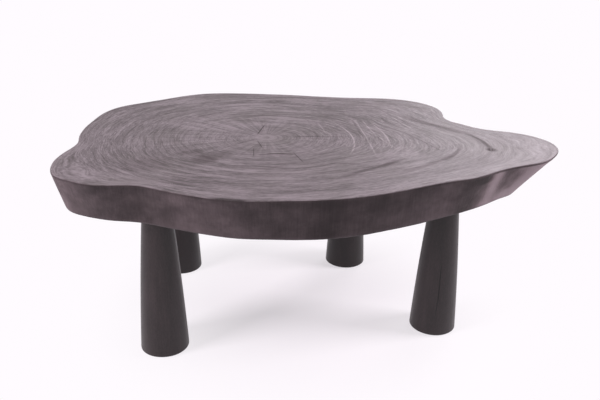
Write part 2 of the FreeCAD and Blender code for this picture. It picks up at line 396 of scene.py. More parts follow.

# %% [markdown]
# ## The slab's skin
#
# The rows start at the middle of the underside, run out to its edge, climb the side through every cut,
# and come back in over the top. On the top they are closer together near the pith and near the rim, where
# the shape changes most. The imported slab could be painted as it is, but its large faces have no points
# to lower along the rings. The mesh also keeps which points are top and which are side, and the side's
# painted light, painted shade and wear. At one place on the front a shaded bite in the rim is painted:
# the top's share is taken off there, so that the side's darker stain runs in over the rim.

# %% Build the slab
UNDERSIDE_ROWS = 12
UNDERSIDE_SHARES = (0.06, 0.985)
TOP_ROWS = 78
TOP_SHARES = (0.997, 0.006)
ROW_EASING = 0.3
RING_RELIEF = 0.35 * MM
RELIEF_FROM_RIM = 0.985
BROAD_RING = 0.034
FINE_RING = 0.011
RING_WANDER = 0.006
RING_WANDER_LENGTH = 0.25
TOP_TURNS = (1.2 * MM, 0.1 * MM)
SIDE_TURNS = 6.0 * MM
# Painted shade of a small bite in the front rim, where the side's stain runs in over the top.
SHADED_BITE_BEARINGS = (-97.0, 4.5)
SHADED_BITE_SHARE = 0.034
SHADED_BITE_GAIN = 2.0


def ring_relief(ring, plan):
    """How far soft rings lie below hard ones: two sets of waves along a ring coordinate that wanders."""
    level = np.dstack([plan, np.zeros_like(ring)])
    wander = ring + RING_WANDER * waves(level, RING_WANDER_LENGTH, seed=5)
    outwards = wander[..., None] * np.array([1.0, 0.0, 0.0])
    broad = waves(outwards, BROAD_RING, seed=21)
    fine = waves(outwards, FINE_RING, seed=22)
    return RING_RELIEF * np.clip(0.5 + 0.3 * broad + 0.2 * fine, 0.0, 1.0)


def slab_skin():
    """The slab as a wrapped grid: underside rows, side rows and top rows about the pith."""
    low_edge, top_edge = side_distance[0], side_distance[-1]
    underside_share = np.linspace(*UNDERSIDE_SHARES, UNDERSIDE_ROWS)
    step = np.linspace(0.0, 1.0, TOP_ROWS)
    eased = (1.0 - ROW_EASING) * step + ROW_EASING * smooth_step(0.0, 1.0, step)
    top_share = TOP_SHARES[0] + (TOP_SHARES[1] - TOP_SHARES[0]) * eased
    underside_rows = np.outer(underside_share, low_edge)
    distance = np.vstack([underside_rows, side_distance, np.outer(top_share, top_edge)])
    underside_heights = np.full(UNDERSIDE_ROWS, UNDERSIDE)
    height = np.concatenate([underside_heights, side_heights, np.full(TOP_ROWS, TABLE_TOP)])
    plan = PITH + distance[..., None] * np.stack([np.cos(bearings), np.sin(bearings)], axis=-1)
    underside_rim = np.tile(low_edge, (UNDERSIDE_ROWS, 1))
    rim = np.vstack([underside_rim, side_distance, np.tile(top_edge, (TOP_ROWS, 1))])
    ring = ring_coordinate(distance, rim, bearings)
    on_top = np.zeros_like(ring)
    on_top[-TOP_ROWS:] = 1.0
    inside = smooth_step(1.0, RELIEF_FROM_RIM, distance / top_edge) * on_top
    lowered = inside * ring_relief(ring, plan)
    points = np.dstack([plan, np.broadcast_to(height[:, None], ring.shape) - lowered])
    turned_up = smooth_step(TABLE_TOP - TOP_TURNS[0], TABLE_TOP - TOP_TURNS[1], height)[:, None]
    turned_out = smooth_step(UNDERSIDE, UNDERSIDE + SIDE_TURNS, height)[:, None]
    # Painted shade: at the bite the top's share is taken off, so the side's darker stain shows.
    shaded_bite = bell(bearings, *SHADED_BITE_BEARINGS) * smooth_step(1.0 - SHADED_BITE_SHARE, 1.0, distance / top_edge)
    attributes = {
        "ring": ring,
        "top": turned_up * (1.0 - np.clip(SHADED_BITE_GAIN * shaded_bite, 0.0, 1.0)),
        "side": np.broadcast_to(turned_out, ring.shape),
        # Painted light, painted shade and wear on the side.
        "light_and_wear": painted_light_and_wear(height, bearings),
    }
    low_pole = [*PITH, UNDERSIDE]
    high_pole = [*PITH, points[-1, :, 2].mean()]
    return wrapped_skin("trunk_slab", points, low_pole, high_pole, attributes)


slab = slab_skin()
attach(slab, "root")
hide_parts("slab_top")
print("slab skin:", len(slab.data.polygons), "faces")

# %% [markdown]
# ## The legs
#
# Each leg was turned on a lathe, so it is a profile carried round its axis: in at the bolt hole, over the
# top, down the slightly bellied side, round the foot and up into the recess for the glide. The side is
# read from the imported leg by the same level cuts. A turned leg moves as it dries, so each is a little out
# of round, and three of them have a drying check, the widest on the front right one. A Screw modifier on
# a drawn profile would turn a leg too, but it couldn't open a check in it.

# %% Turn the legs
LEG_COLUMNS = 256
LEG_ROWS = 130
TOP_ROW_DROP = 0.05 * MM
FOOT_ROW_RISE = 3.2 * MM
FOOT_ROUND_RISES = np.array([2.4, 1.9, 1.4, 1.0, 0.65, 0.35, 0.12]) * MM
PAST_RECESS = 1.1
OUT_OF_ROUND = 0.25 * MM
OUT_OF_ROUND_WIDTH = 0.05
OUT_OF_ROUND_STRETCH = 0.2
LEG_CHECK_DEPTH = 2.5 * MM
LEG_CHECK_FLARE = 1.6
LEG_CHECK_WANDER = 0.05
LEG_CHECK_WANDER_LENGTH = 0.09
FIRST_LEG_SEED = 40
BOLT_HOLE = {"radius": 5.1 * MM, "depth": 52.0 * MM, "flare": 20.0 * MM}
GLIDE_RECESS = {"radius": 23.2 * MM, "depth": 3.0 * MM}
# Each check: its bearing in degrees, its lowest and highest point, and half its width.
LEG_CHECKS = {
    "front_left": [],
    "front_right": [(267.0, 0.040, 0.182, 0.9 * MM)],
    "rear_right": [(60.0, 0.06, 0.20, 0.6 * MM)],
    "rear_left": [(110.0, 0.12, 0.30, 0.6 * MM)],
}


def leg_profile(place):
    """Heights down the outside of a packed leg, its radius there, and the heights of its foot and top.

    Each radius is the mean reach of a level cut, past the recess for the glide.
    """
    foot, top = np.array(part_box(f"leg_{place}"))[:, 2]
    triangles = triangles_of(f"leg_{place}")
    outside = np.linspace(top - TOP_ROW_DROP, foot + FOOT_ROW_RISE, LEG_ROWS)
    heights = np.append(outside, foot + FOOT_ROUND_RISES)
    radii = []
    for height in heights:
        reach = np.linalg.norm(level_cut(triangles, height) - LEG_AXES[place], axis=1)
        radii.append(reach[reach > GLIDE_RECESS["radius"] * PAST_RECESS].mean())
    return heights, np.array(radii), foot, top


def leg_skin(place):
    """A leg as a wrapped grid: the profile from the bolt hole, down the outside, to the glide's recess.

    The outside is drawn in by waves that are stretched along the leg, and by V-shaped checks that run down
    it and wander a little to each side.
    """
    heights, radii, foot, top = leg_profile(place)
    seed = FIRST_LEG_SEED + LEG_PLACES.index(place)
    angles = np.linspace(0.0, 2.0 * np.pi, LEG_COLUMNS, endpoint=False)
    around = np.stack([np.cos(angles), np.sin(angles)], axis=-1)
    squeezed = np.broadcast_to(heights[:, None] * OUT_OF_ROUND_STRETCH, (len(heights), LEG_COLUMNS))
    spread = np.dstack([radii[:, None, None] * around, squeezed])
    bent = OUT_OF_ROUND * np.clip(0.5 + 0.5 * waves(spread, OUT_OF_ROUND_WIDTH, seed), 0.0, 1.0)
    checks = np.zeros_like(bent)
    for bearing, low, high, half_width in LEG_CHECKS[place]:
        upwards = np.outer(heights, [1.0, 0.0, 0.0])
        wander = LEG_CHECK_WANDER * waves(upwards, LEG_CHECK_WANDER_LENGTH, seed + 10)
        turn = angles - (np.radians(bearing) + wander)[:, None]
        beside = radii[:, None] * np.abs((turn + np.pi) % (2.0 * np.pi) - np.pi)
        length_share = np.clip((heights - low) / (high - low), 0.0, 1.0)
        taper = np.sqrt(4.0 * length_share * (1.0 - length_share))[:, None]
        open_share = np.clip(1.0 - beside / (half_width * LEG_CHECK_FLARE), 0.0, 1.0)
        checks = np.maximum(checks, open_share * taper)
    outside = radii[:, None] - bent - LEG_CHECK_DEPTH * checks
    hole = [(0.15, BOLT_HOLE["depth"]), (1.0, BOLT_HOLE["depth"]), (1.0, BOLT_HOLE["flare"])]
    hole_rows = [(BOLT_HOLE["radius"] * share, top - depth) for share, depth in hole]
    crown_rows = [(share * radii[0], top) for share in (0.24, 0.5, 0.8, 0.985)]
    under_rows = [(share * radii[-1], foot) for share in (0.96, 0.75, 0.55)]
    recess = [(1.0, 0.0), (1.0, GLIDE_RECESS["depth"]), (0.3, GLIDE_RECESS["depth"])]
    recess_rows = [(GLIDE_RECESS["radius"] * share, foot + depth) for share, depth in recess]
    before = np.array(hole_rows + crown_rows)
    after = np.array(under_rows + recess_rows)
    reach = np.vstack([np.tile(before[:, :1], LEG_COLUMNS), outside, np.tile(after[:, :1], LEG_COLUMNS)])
    level = np.concatenate([before[:, 1], heights, after[:, 1]])
    plan = LEG_AXES[place] + reach[..., None] * around
    points = np.dstack([plan, np.broadcast_to(level[:, None], reach.shape)])[::-1]
    blank = [np.zeros((len(rows), LEG_COLUMNS)) for rows in (before, after)]
    attributes = {"checks": np.vstack([blank[0], checks, blank[1]])[::-1]}
    low_pole = [*LEG_AXES[place], foot + GLIDE_RECESS["depth"]]
    high_pole = [*LEG_AXES[place], top - BOLT_HOLE["depth"]]
    return wrapped_skin(f"turned_leg_{place}", points, low_pole, high_pole, attributes)


legs = {}
for place in LEG_PLACES:
    legs[place] = leg_skin(place)
    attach(legs[place], "root")
    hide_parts(f"leg_{place}")
print("legs:", {place: len(leg.data.polygons) for place, leg in legs.items()}, "faces")

# %% [markdown]
# ## Finishes as sums
#
# A procedural finish is a small calculation done at every point of a surface. An image texture would need
# unwrapping and has one sharpness, and a calculation has neither fault. Wiring it by hand takes many
# lines, so one class wraps a socket: adding or multiplying two wires adds the Math node that does it, and
# any other node comes from one method.

# %% A wire that can be added and multiplied
class Wire:
    """One output of a material's node, which can stand in a Python sum."""

    def __init__(self, tree, socket=None):
        self.tree = tree
        self.socket = socket

    def node(self, kind, settings=None, sockets=None, output=0):
        """Adds a node, sets its settings, gives its sockets values or wires, and returns one output."""
        made = self.tree.nodes.new(kind)
        for key, value in (settings or {}).items():
            setattr(made, key, value)
        for key, value in (sockets or {}).items():
            if isinstance(value, Wire):
                self.tree.links.new(value.socket, made.inputs[key])
            else:
                made.inputs[key].default_value = value
        return Wire(self.tree, made.outputs[output] if len(made.outputs) else None)

    def maths(self, operation, *values):
        """A Math node on one, two or three values."""
        return self.node("ShaderNodeMath", {"operation": operation}, dict(enumerate(values)))

    def __add__(self, other):
        return self.maths("ADD", self, other)

    def __sub__(self, other):
        return self.maths("SUBTRACT", self, other)

    def __rsub__(self, other):
        return self.maths("SUBTRACT", other, self)

    def __mul__(self, other):
        return self.maths("MULTIPLY", self, other)

    def __truediv__(self, other):
        return self.maths("DIVIDE", self, other)

    __radd__ = __add__
    __rmul__ = __mul__

    def root(self):
        """The square root."""
        return self.maths("SQRT", self)

    def step(self, low, high):
        """Smooth rise from 0 at low to 1 at high."""
        rise = {0: self, 1: low, 2: high}
        return self.node("ShaderNodeMapRange", {"interpolation_type": "SMOOTHSTEP"}, rise)

    def attribute(self, name):
        """A number that the mesh keeps at each point."""
        return self.node("ShaderNodeAttribute", {"attribute_name": name}, output="Fac")

    def place(self):
        """The x, y and z of the point on its own piece."""
        place = self.node("ShaderNodeTexCoord", output="Object")
        return [self.node("ShaderNodeSeparateXYZ", None, {0: place}, output=axis) for axis in "XYZ"]

    def noise(self, x, y, z, detail=3.0, roughness=0.5):
        """Noise from 0 to 1 at a point whose axes may be stretched apart from each other."""
        vector = self.node("ShaderNodeCombineXYZ", None, {0: x, 1: y, 2: z})
        sockets = {"Vector": vector, "Scale": 1.0, "Detail": detail, "Roughness": roughness}
        return self.node("ShaderNodeTexNoise", None, sockets)

    def grain(self, place, level, upward, detail=3.0, roughness=0.5):
        """Noise with one scale on the level and another upwards. Fibres have a small one upwards."""
        x, y, z = place
        return self.noise(x * level, y * level, z * upward, detail, roughness)

    def blend(self, start, end):
        """A colour between two, shared by this wire."""
        return self.node("ShaderNodeMix", {"data_type": "RGBA"}, {0: self, 6: start, 7: end}, output=2)

    def finish(self, constants, varying, bump_distance, bump_strength):
        """Puts colour, roughness and the like on the surface. This wire is the height of its relief."""
        relief = {"Height": self, "Distance": bump_distance, "Strength": bump_strength}
        normal = self.node("ShaderNodeBump", None, relief)
        surface = self.node("ShaderNodeBsdfPrincipled", None, {**constants, **varying, "Normal": normal})
        self.node("ShaderNodeOutputMaterial", None, {"Surface": surface})


def new_finish(name):
    """An empty material and a wire to start its calculation from."""
    material = bpy.data.materials.new(name)
    material.use_nodes = True
    material.node_tree.nodes.clear()
    return material, Wire(material.node_tree)


def colour(red, green, blue):
    """A solid colour in linear light."""
    return (red, green, blue, 1.0)


print("white as a node takes it:", colour(1.0, 1.0, 1.0))

# %% [markdown]
# ## Marks in the top
#
# What makes this slab itself is a set of marks. Pale arcs lie to the right of the pith, with dark arcs
# among them and dark bows farther out. Checks have opened round the pith as it dried, blots are a knot and
# darker stains, and soft patches took more or less stain. They could be painted on an image, but each is
# only a curve, a line or a round patch, so a few points in metres hold it. An arc runs across the table
# and gives x for each y, and a bow runs along it and gives y for each x.

# %% Arcs, bows, checks and blots
# Each arc or bow: half its width, its share of the stain, and three points on it.
PALE_ARCS = [
    (2.0 * MM, 0.40, [(0.101, 0.007), (0.070, 0.014), (0.039, 0.020)]),
    (2.6 * MM, 0.70, [(0.112, 0.043), (0.008, 0.079), (-0.096, 0.073)]),
    (2.4 * MM, 0.60, [(0.116, 0.096), (0.008, 0.109), (-0.100, 0.119)]),
    (2.2 * MM, 0.55, [(0.126, 0.113), (0.041, 0.129), (-0.045, 0.156)]),
    (2.2 * MM, 0.55, [(0.127, 0.125), (0.041, 0.150), (-0.045, 0.158)]),
    (2.4 * MM, 0.55, [(0.165, 0.188), (0.121, 0.202), (0.077, 0.219)]),
]
DARK_ARCS = [
    (3.0 * MM, 0.50, [(0.163, 0.157), (0.127, 0.170), (0.090, 0.187)]),
    (3.0 * MM, 0.35, [(0.273, 0.142), (0.224, 0.168), (0.174, 0.185)]),
    (3.0 * MM, 0.40, [(0.126, 0.088), (0.073, 0.095), (0.020, 0.100)]),
    (8.0 * MM, 0.60, [(0.046, 0.337), (-0.010, 0.360), (-0.065, 0.366)]),
    (3.5 * MM, 0.40, [(0.044, 0.201), (-0.017, 0.229), (-0.078, 0.258)]),
]
DARK_BOWS = [
    (20.0 * MM, 0.42, [(0.208, 0.184), (0.272, 0.109), (0.336, 0.048)]),
    (12.0 * MM, 0.50, [(0.304, -0.056), (0.276, -0.110), (0.248, -0.134)]),
    (10.0 * MM, 0.70, [(0.052, -0.238), (0.109, -0.193), (0.166, -0.146)]),
    (5.0 * MM, 0.50, [(0.026, -0.172), (0.056, -0.171), (0.085, -0.175)]),
    (11.0 * MM, 0.35, [(0.158, -0.215), (0.203, -0.181), (0.247, -0.141)]),
    (4.5 * MM, 0.55, [(-0.176, -0.196), (-0.113, -0.198), (-0.051, -0.205)]),
    (4.5 * MM, 0.45, [(-0.220, 0.144), (-0.128, 0.159), (-0.035, 0.149)]),
]
# Each check: half its width, its share, and its two ends.
CHECK_LINES = [
    (1.8 * MM, 0.95, (-0.115, 0.090), (-0.130, -0.002)),
    (1.5 * MM, 0.75, (-0.126, -0.034), (-0.110, -0.093)),
    (1.3 * MM, 0.75, (-0.130, -0.083), (-0.126, -0.144)),
    (2.5 * MM, 0.60, (-0.121, -0.127), (-0.092, -0.126)),
    (2.4 * MM, 0.60, (-0.175, -0.065), (-0.124, -0.022)),
    (4.5 * MM, 0.80, (-0.108, -0.120), (-0.040, -0.120)),
    (1.8 * MM, 0.70, (-0.049, -0.106), (-0.025, -0.174)),
    (2.2 * MM, 0.50, (-0.262, 0.078), (-0.180, 0.022)),
    (2.6 * MM, 0.70, (-0.062, -0.003), (0.084, 0.003)),
]
# Each blot or patch: its radius, its share or its change of tone, and its middle.
DARK_BLOTS = [
    (0.034, 0.75, (-0.221, -0.161)),
    (0.034, 0.40, (-0.257, -0.121)),
    (0.030, 0.40, (-0.195, -0.133)),
    (0.060, 0.35, (-0.330, -0.200)),
    (0.015, 1.00, (0.367, -0.066)),
]
SOFT_PATCHES = [
    (0.11, -0.20, (0.060, 0.160)),
    (0.11, 0.20, (-0.231, 0.088)),
    (0.11, 0.17, (0.145, -0.172)),
    (0.07, -0.18, (-0.366, 0.016)),
    (0.08, 0.12, (-0.180, 0.291)),
    (0.06, 0.18, (-0.233, -0.033)),
    (0.08, 0.08, (0.414, -0.109)),
    (0.08, 0.26, (-0.320, -0.290)),
    (0.05, 0.32, (-0.155, -0.345)),
    (0.09, -0.14, (-0.440, -0.170)),
    (0.06, 0.13, (0.160, -0.070)),
]
# A mark fades with the square of the distance from its middle, in parts of its half length squared.
CURVE_FADE = (0.2, 1.8)
CHECK_FADE = (0.12, 1.0)


def curved_mark(along, across, half_width, share, points):
    """A share on a curve and 0 beside it: the parabola through three points, faded out round its ends."""
    runs, offsets = np.array(points).T
    square, slope, start = (float(term) for term in np.polyfit(runs, offsets, 2))
    off = across - (along * along * square + along * slope + start)
    beside = 1.0 - (off * off).step(0.0, half_width * half_width)
    half_squared = float(np.ptp(runs)) ** 2 / 4
    from_middle = along - float(runs.min() + runs.max()) / 2
    fade = (part * half_squared for part in CURVE_FADE)
    within = 1.0 - (from_middle * from_middle).step(*fade)
    return beside * within * share


def check_mark(x, y, half_width, share, start, end):
    """A share on a straight check between two plan points and 0 beside it, fainter at its ends."""
    along = np.array(end) - np.array(start)
    length = float(np.linalg.norm(along))
    east, north = (float(part) for part in along / length)
    half_squared = length * length / 4
    middle_run = ((start[0] + end[0]) * east + (start[1] + end[1]) * north) / 2
    from_middle = x * east + y * north - middle_run
    off = y * east - x * north - (start[1] * east - start[0] * north)
    beside = 1.0 - (off * off).step(0.0, half_width * half_width)
    fade = (part * half_squared for part in CHECK_FADE)
    within = 1.0 - (from_middle * from_middle).step(*fade)
    return beside * within * share


def blot(x, y, radius, middle):
    """1 in the middle of a round patch, falling smoothly to 0 at its radius."""
    east, north = x - middle[0], y - middle[1]
    return 1.0 - (east * east + north * north).step(0.0, radius * radius)


def strongest(marks):
    """At each point, the largest of some marks, none of which is below 0."""
    found = 0.0
    for mark in marks:
        found = mark.maths("MAXIMUM", found, mark)
    return found


def dark_stains(x, y):
    """Each dark stain in turn: the arcs, the bows and the blots."""
    for arc in DARK_ARCS:
        yield curved_mark(y, x, *arc)
    for bow in DARK_BOWS:
        yield curved_mark(x, y, *bow)
    for radius, share, middle in DARK_BLOTS:
        yield blot(x, y, radius, middle) * share


print("marks in the top:", len(PALE_ARCS + DARK_ARCS + DARK_BOWS), "arcs and bows,",
      len(CHECK_LINES), "checks,", len(DARK_BLOTS + SOFT_PATCHES), "blots and patches")

# %% [markdown]
# ## End grain
#
# End grain drinks stain, so the top is a map of the trunk: thin dark and light streaks along the rings,
# broader bands where the tree grew fast or slow, and rays that run out from the pith. A Wave texture
# gives rings too, but too even ones. Here each kind of streak is noise that changes fast across the rings
# and slowly along them. One sum holds the tone, and the marks are laid over it. The pith is rubbed pale.
# The front rim is paler, partly as wear and partly as a painted sheen, and so is the nose, partly as
# lighter wood and partly as a painted sheen. The streaks are calmer towards the nose, and the front left
# is rougher.

# %% Streaks, rays and marks
STAIN_DARK = colour(0.060, 0.045, 0.048)
STAIN_LIGHT = colour(0.240, 0.193, 0.214)
STAIN_BROWN = colour(0.100, 0.081, 0.080)
STAIN_PALE = colour(0.40, 0.34, 0.36)
STAIN_CHECK = colour(0.050, 0.038, 0.040)
TONE_RANGE = (-0.2, 1.2)
MEAN_TONE = 0.53
MEAN_RELIEF = 0.55
DRIFT_SCALE = 7.0
DRIFT_REACH = 0.024
# Each kind of streak: its scale across the rings and along them, a shift, detail and roughness.
STREAKS = {
    "pores": (520.0, 90.0, 0.0, 2.0, 0.6),
    "fine": (300.0, 18.0, 0.0, 3.0, 0.7),
    "medium": (78.0, 13.0, 4.0, 3.0, 0.65),
    "broad": (34.0, 5.0, 3.0, 2.0, 0.5),
    "late wood": (70.0, 4.0, 7.0, 3.0, 0.6),
}
PATCH_SCALE = 8.0
THIN_LINE = 0.003
THIN_LINE_PATCHES = (0.35, 0.65)
BROWN_PATCHES = (0.42, 0.72)
BROKEN_UP = (-0.14, 0.10)
RAY_SCALE = 19.0
RAY_BREAKS = 12.0
RAY_PATCH = (0.19, (-0.21, 0.01))
ROUGH_PATCH = (0.17, (-0.27, -0.20))
PITH_REACH = (0.04, 0.16)
PALE_PITH = (0.005, 0.045)
CALM_NOSE = (0.05, 0.38)
LIGHT_WOOD_AND_SHEEN_NOSE = (0.40, 0.51)
LIVELY_BACK = (-0.05, 0.15)
PALE_BACK = (0.1, 0.3)
WORN_AND_SHEEN_RIM = (0.37, 0.42)
RIM_FRONT = (-0.15, 0.05)


def streak(start, ring, x, y, across, along, shift, detail, roughness):
    """Noise stretched along the rings: one scale across them, another along them."""
    return start.noise(ring * across, x * along, y * along + shift, detail, roughness)


def end_grain(start, x, y, ring):
    """Stain, relief, darkness of the marks and tone of the top.

    The tone is a sum of streaks, weighted by their direction from the pith, with rays near the pith and
    patches. The stain goes from dark to light with the tone, and is then blended with the marks.
    """
    drift = start.noise(x * DRIFT_SCALE, y * DRIFT_SCALE, 0.0, detail=2.0)
    wandering = ring + (drift - 0.5) * DRIFT_REACH
    kinds = (streak(start, wandering, x, y, *kind) for kind in STREAKS.values())
    pores, fine, medium, broad, late_wood = (kind - 0.5 for kind in kinds)
    thin_line = 1.0 - (late_wood * late_wood).step(0.0, THIN_LINE)
    patches = start.noise(x * PATCH_SCALE + 9.0, y * PATCH_SCALE, 1.0, detail=4.0, roughness=0.6)
    east, north = x - float(PITH[0]), y - float(PITH[1])
    away = (east * east + north * north + 1e-6).root()
    rays = (east / away * RAY_SCALE, north / away * RAY_SCALE, away * RAY_BREAKS)
    ray = start.noise(*rays, detail=4.0, roughness=0.65)
    near_pith = strongest([1.0 - away.step(*PITH_REACH), blot(x, y, *RAY_PATCH)])
    rough = blot(x, y, *ROUGH_PATCH)
    across = north * north / (away * away)
    streaks = fine * (1.7 - across * 0.3) + medium * (0.7 + across * 0.75) + broad * (0.3 + across * 0.9)
    streaks = streaks * (1.0 - near_pith * 0.75) * (1.0 + rough * 0.5) + pores * 1.4
    streaks = streaks - thin_line * patches.step(*THIN_LINE_PATCHES) * 0.45
    streaks = streaks * (1.0 - x.step(*CALM_NOSE) * 0.58) * (1.0 + y.step(*LIVELY_BACK) * 0.3)
    tone = MEAN_TONE + streaks + (patches - 0.5) * 0.6 - rough * 0.10
    # The nose is paler: partly lighter wood and partly a painted sheen.
    tone = tone + x.step(*LIGHT_WOOD_AND_SHEEN_NOSE) * 0.05 + y.step(*PALE_BACK) * 0.06
    tone = tone + (ray - 0.5) * near_pith * 2.6 + (1.0 - away.step(*PALE_PITH)) * 0.45
    # The front rim is paler: partly wear and partly a painted sheen.
    tone = tone + ring.step(*WORN_AND_SHEEN_RIM) * (1.0 - y.step(*RIM_FRONT)) * 0.17
    tone = tone + sum(blot(x, y, radius, middle) * share for radius, share, middle in SOFT_PATCHES)
    stain = tone.step(*TONE_RANGE).blend(STAIN_DARK, STAIN_LIGHT)
    stain = (patches.step(*BROWN_PATCHES) * 0.4).blend(stain, STAIN_BROWN)
    broken = 0.35 + fine.step(*BROKEN_UP) * 0.65
    for arc in PALE_ARCS:
        stain = (curved_mark(y, x, *arc) * broken).blend(stain, STAIN_PALE)
    checks = strongest(check_mark(x, y, *line) for line in CHECK_LINES)
    dark = strongest([strongest(dark_stains(x, y)) * broken, checks])
    stain = dark.blend(stain, STAIN_CHECK)
    relief = MEAN_RELIEF + pores * 0.3 + fine * 0.5 + medium * 0.3
    relief = relief + tone.step(*TONE_RANGE) * 0.2 - dark * 0.5
    return stain, relief, dark, tone


print("kinds of streak:", list(STREAKS))

# %% [markdown]
# ## Long grain, and the slab's finish
#
# On the side the fibres run up and down, so the noise is stretched upwards. Its stain is closer to black
# than the top's, which is partly painted shade on the upright side, and it is paler where it is painted
# light and worn. The underside is taken to be end grain left as it was sawn: it has the top's tone in
# darker colours. One material holds all three, because the mesh keeps how much each point belongs to the
# top and to the side. Three materials would meet in a hard line at the rim.

# %% Stain on the slab
SAWN_DARK = colour(0.016, 0.012, 0.013)
SAWN_LIGHT = colour(0.075, 0.058, 0.063)
# The side's colours are darker than the top's, partly as painted shade on the upright side.
SIDE_DARK = colour(0.0201, 0.0148, 0.0158)
SIDE_LIGHT = colour(0.106, 0.0793, 0.0860)
SIDE_WORN_AND_LIT = colour(0.215, 0.172, 0.186)
SIDE_FIBRE = (240.0, 22.0, 4.0, 0.65)
SIDE_SMUDGE = (16.0, 24.0, 4.0, 0.6)
SIDE_TONE_RANGE = (-0.1, 1.3)
SIDE_MEAN_TONE = 0.52
RUBBED_AND_LIT_RANGE = (0.3, 1.7)


def long_grain(start, place, light_and_wear):
    """Colour and relief of the side: fibres that run up and down, under wide smudges of stain.

    It is a little lighter low down, as painted light from the floor. The places painted light, which are
    partly worn too, blend to a pale colour, with their edges broken up by the smudges and the fibres.
    """
    fibre = start.grain(place, *SIDE_FIBRE)
    smudge = start.grain(place, *SIDE_SMUDGE)
    tone = SIDE_MEAN_TONE + (fibre - 0.5) * 0.32 + (smudge - 0.5) * 1.2 + light_and_wear * 0.6
    # Painted light bounced up from the floor: the side is lighter low down.
    tone = tone - place[2].step(float(UNDERSIDE), float(TABLE_TOP)) * 0.2
    stain = tone.step(*SIDE_TONE_RANGE).blend(SIDE_DARK, SIDE_LIGHT)
    # Where the side is painted light, and partly worn, it blends to a pale colour.
    rubbed_and_lit = light_and_wear + (smudge - 0.5) * 1.6 + (fibre - 0.5) * 0.5
    stain = (rubbed_and_lit.step(*RUBBED_AND_LIT_RANGE) * 0.8).blend(stain, SIDE_WORN_AND_LIT)
    return stain, fibre * 0.8 + smudge * 0.5


def slab_finish():
    """Stained end grain on the top, stained long grain on the side and sawn end grain below."""
    material, start = new_finish("charcoal_slab")
    place = start.place()
    top, side = start.attribute("top"), start.attribute("side")
    top_colour, top_relief, dull, tone = end_grain(start, place[0], place[1], start.attribute("ring"))
    sawn_colour = tone.step(*TONE_RANGE).blend(SAWN_DARK, SAWN_LIGHT)
    side_colour, side_relief = long_grain(start, place, start.attribute("light_and_wear"))
    lower_colour = side.blend(sawn_colour, side_colour)
    height = top * top_relief + (1.0 - top) * (side * side_relief + (1.0 - side) * tone * 0.5)
    top_roughness = 0.74 - top_relief * 0.36 + dull * 0.2
    roughness = top * top_roughness + (1.0 - top) * (0.90 - side_relief * 0.15)
    height.finish(
        {"Specular IOR Level": 0.35},
        {"Base Color": top.blend(lower_colour, top_colour), "Roughness": roughness},
        bump_distance=0.8 * MM,
        bump_strength=0.5,
    )
    return material


slab.data.materials.append(slab_finish())
print("slab finish:", len(slab.data.materials[0].node_tree.nodes), "nodes")

# %% [markdown]
# ## The legs' stain
#
# The legs are long grain all round: fine streaks that run down the leg, in a stain that is nearly black
# and has a soft shine. One material does for all four, because each leg's place in the noise is its own.
# The legs at the back and on the right are a little darker, as painted shade. The soft bright edge of
# rubbed wood is Sheen, which a plain gloss can't give.

# %% Stain on the legs
LEG_DARK = colour(0.0090, 0.0055, 0.0062)
LEG_LIGHT = colour(0.031, 0.0213, 0.0231)
LEG_CHECK = colour(0.006, 0.005, 0.005)
LEG_FIBRE = (300.0, 16.0, 4.0, 0.65)
LEG_BAND = (45.0, 9.0)
LEG_SPECK = (420.0, 160.0, 2.0)
LEG_TONE_RANGE = (-0.1, 1.1)
# Painted shade on the legs at the back and on the right.
BACK_LEGS_SHADE = (0.0, 0.12)
RIGHT_LEGS_SHADE = (0.2, 0.3)
CHECK_EDGE = (0.05, 0.6)


def leg_finish():
    """Streaks stretched along the leg, with wider patches under them and black in the checks."""
    material, start = new_finish("charcoal_leg")
    place = start.place()
    checks = start.attribute("checks")
    fibre, band, speck = (start.grain(place, *kind) for kind in (LEG_FIBRE, LEG_BAND, LEG_SPECK))
    tone = 0.5 + (fibre - 0.5) * 0.8 + (band - 0.5) * 0.9 + (speck - 0.5) * 0.7
    # Painted shade: the legs at the back and on the right are darker.
    tone = tone - place[1].step(*BACK_LEGS_SHADE) * 0.4 - place[0].step(*RIGHT_LEGS_SHADE) * 0.12
    stain = tone.step(*LEG_TONE_RANGE).blend(LEG_DARK, LEG_LIGHT)
    paint = checks.step(*CHECK_EDGE).blend(stain, LEG_CHECK)
    height = fibre * 0.6 + band * 0.3 + speck * 0.4
    height.finish(
        {"Specular IOR Level": 0.4, "Sheen Weight": 0.23, "Sheen Roughness": 0.35},
        {"Base Color": paint, "Roughness": 0.48 + (fibre - 0.5) * 0.3},
        bump_distance=0.35 * MM,
        bump_strength=0.5,
    )
    return material


leg_stain = leg_finish()
for leg in legs.values():
    leg.data.materials.append(leg_stain)
print("leg finish:", len(leg_stain.node_tree.nodes), "nodes")

# %% [markdown]
# ## Hardware
#
# The bolts, inserts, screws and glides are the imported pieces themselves, because their threads and
# sockets are modelled there. They only need a finish: zinc is a dull bright metal with cloudy patches,
# and the glides are moulded nylon with a faint pebble. Hardly any of it shows until the table is taken
# apart.

# %% Finishes for the hardware
NYLON_DARK = colour(0.012, 0.012, 0.013)
NYLON_SCUFFED = colour(0.035, 0.034, 0.034)
CLOUDED = 0.6
ZINC_CLOUD = (260.0, 260.0)
ZINC_SCRATCH = (300.0, 2600.0)
NYLON_PEBBLE = (1400.0, 1400.0, 1.0)
NYLON_SCUFF = (120.0, 120.0)


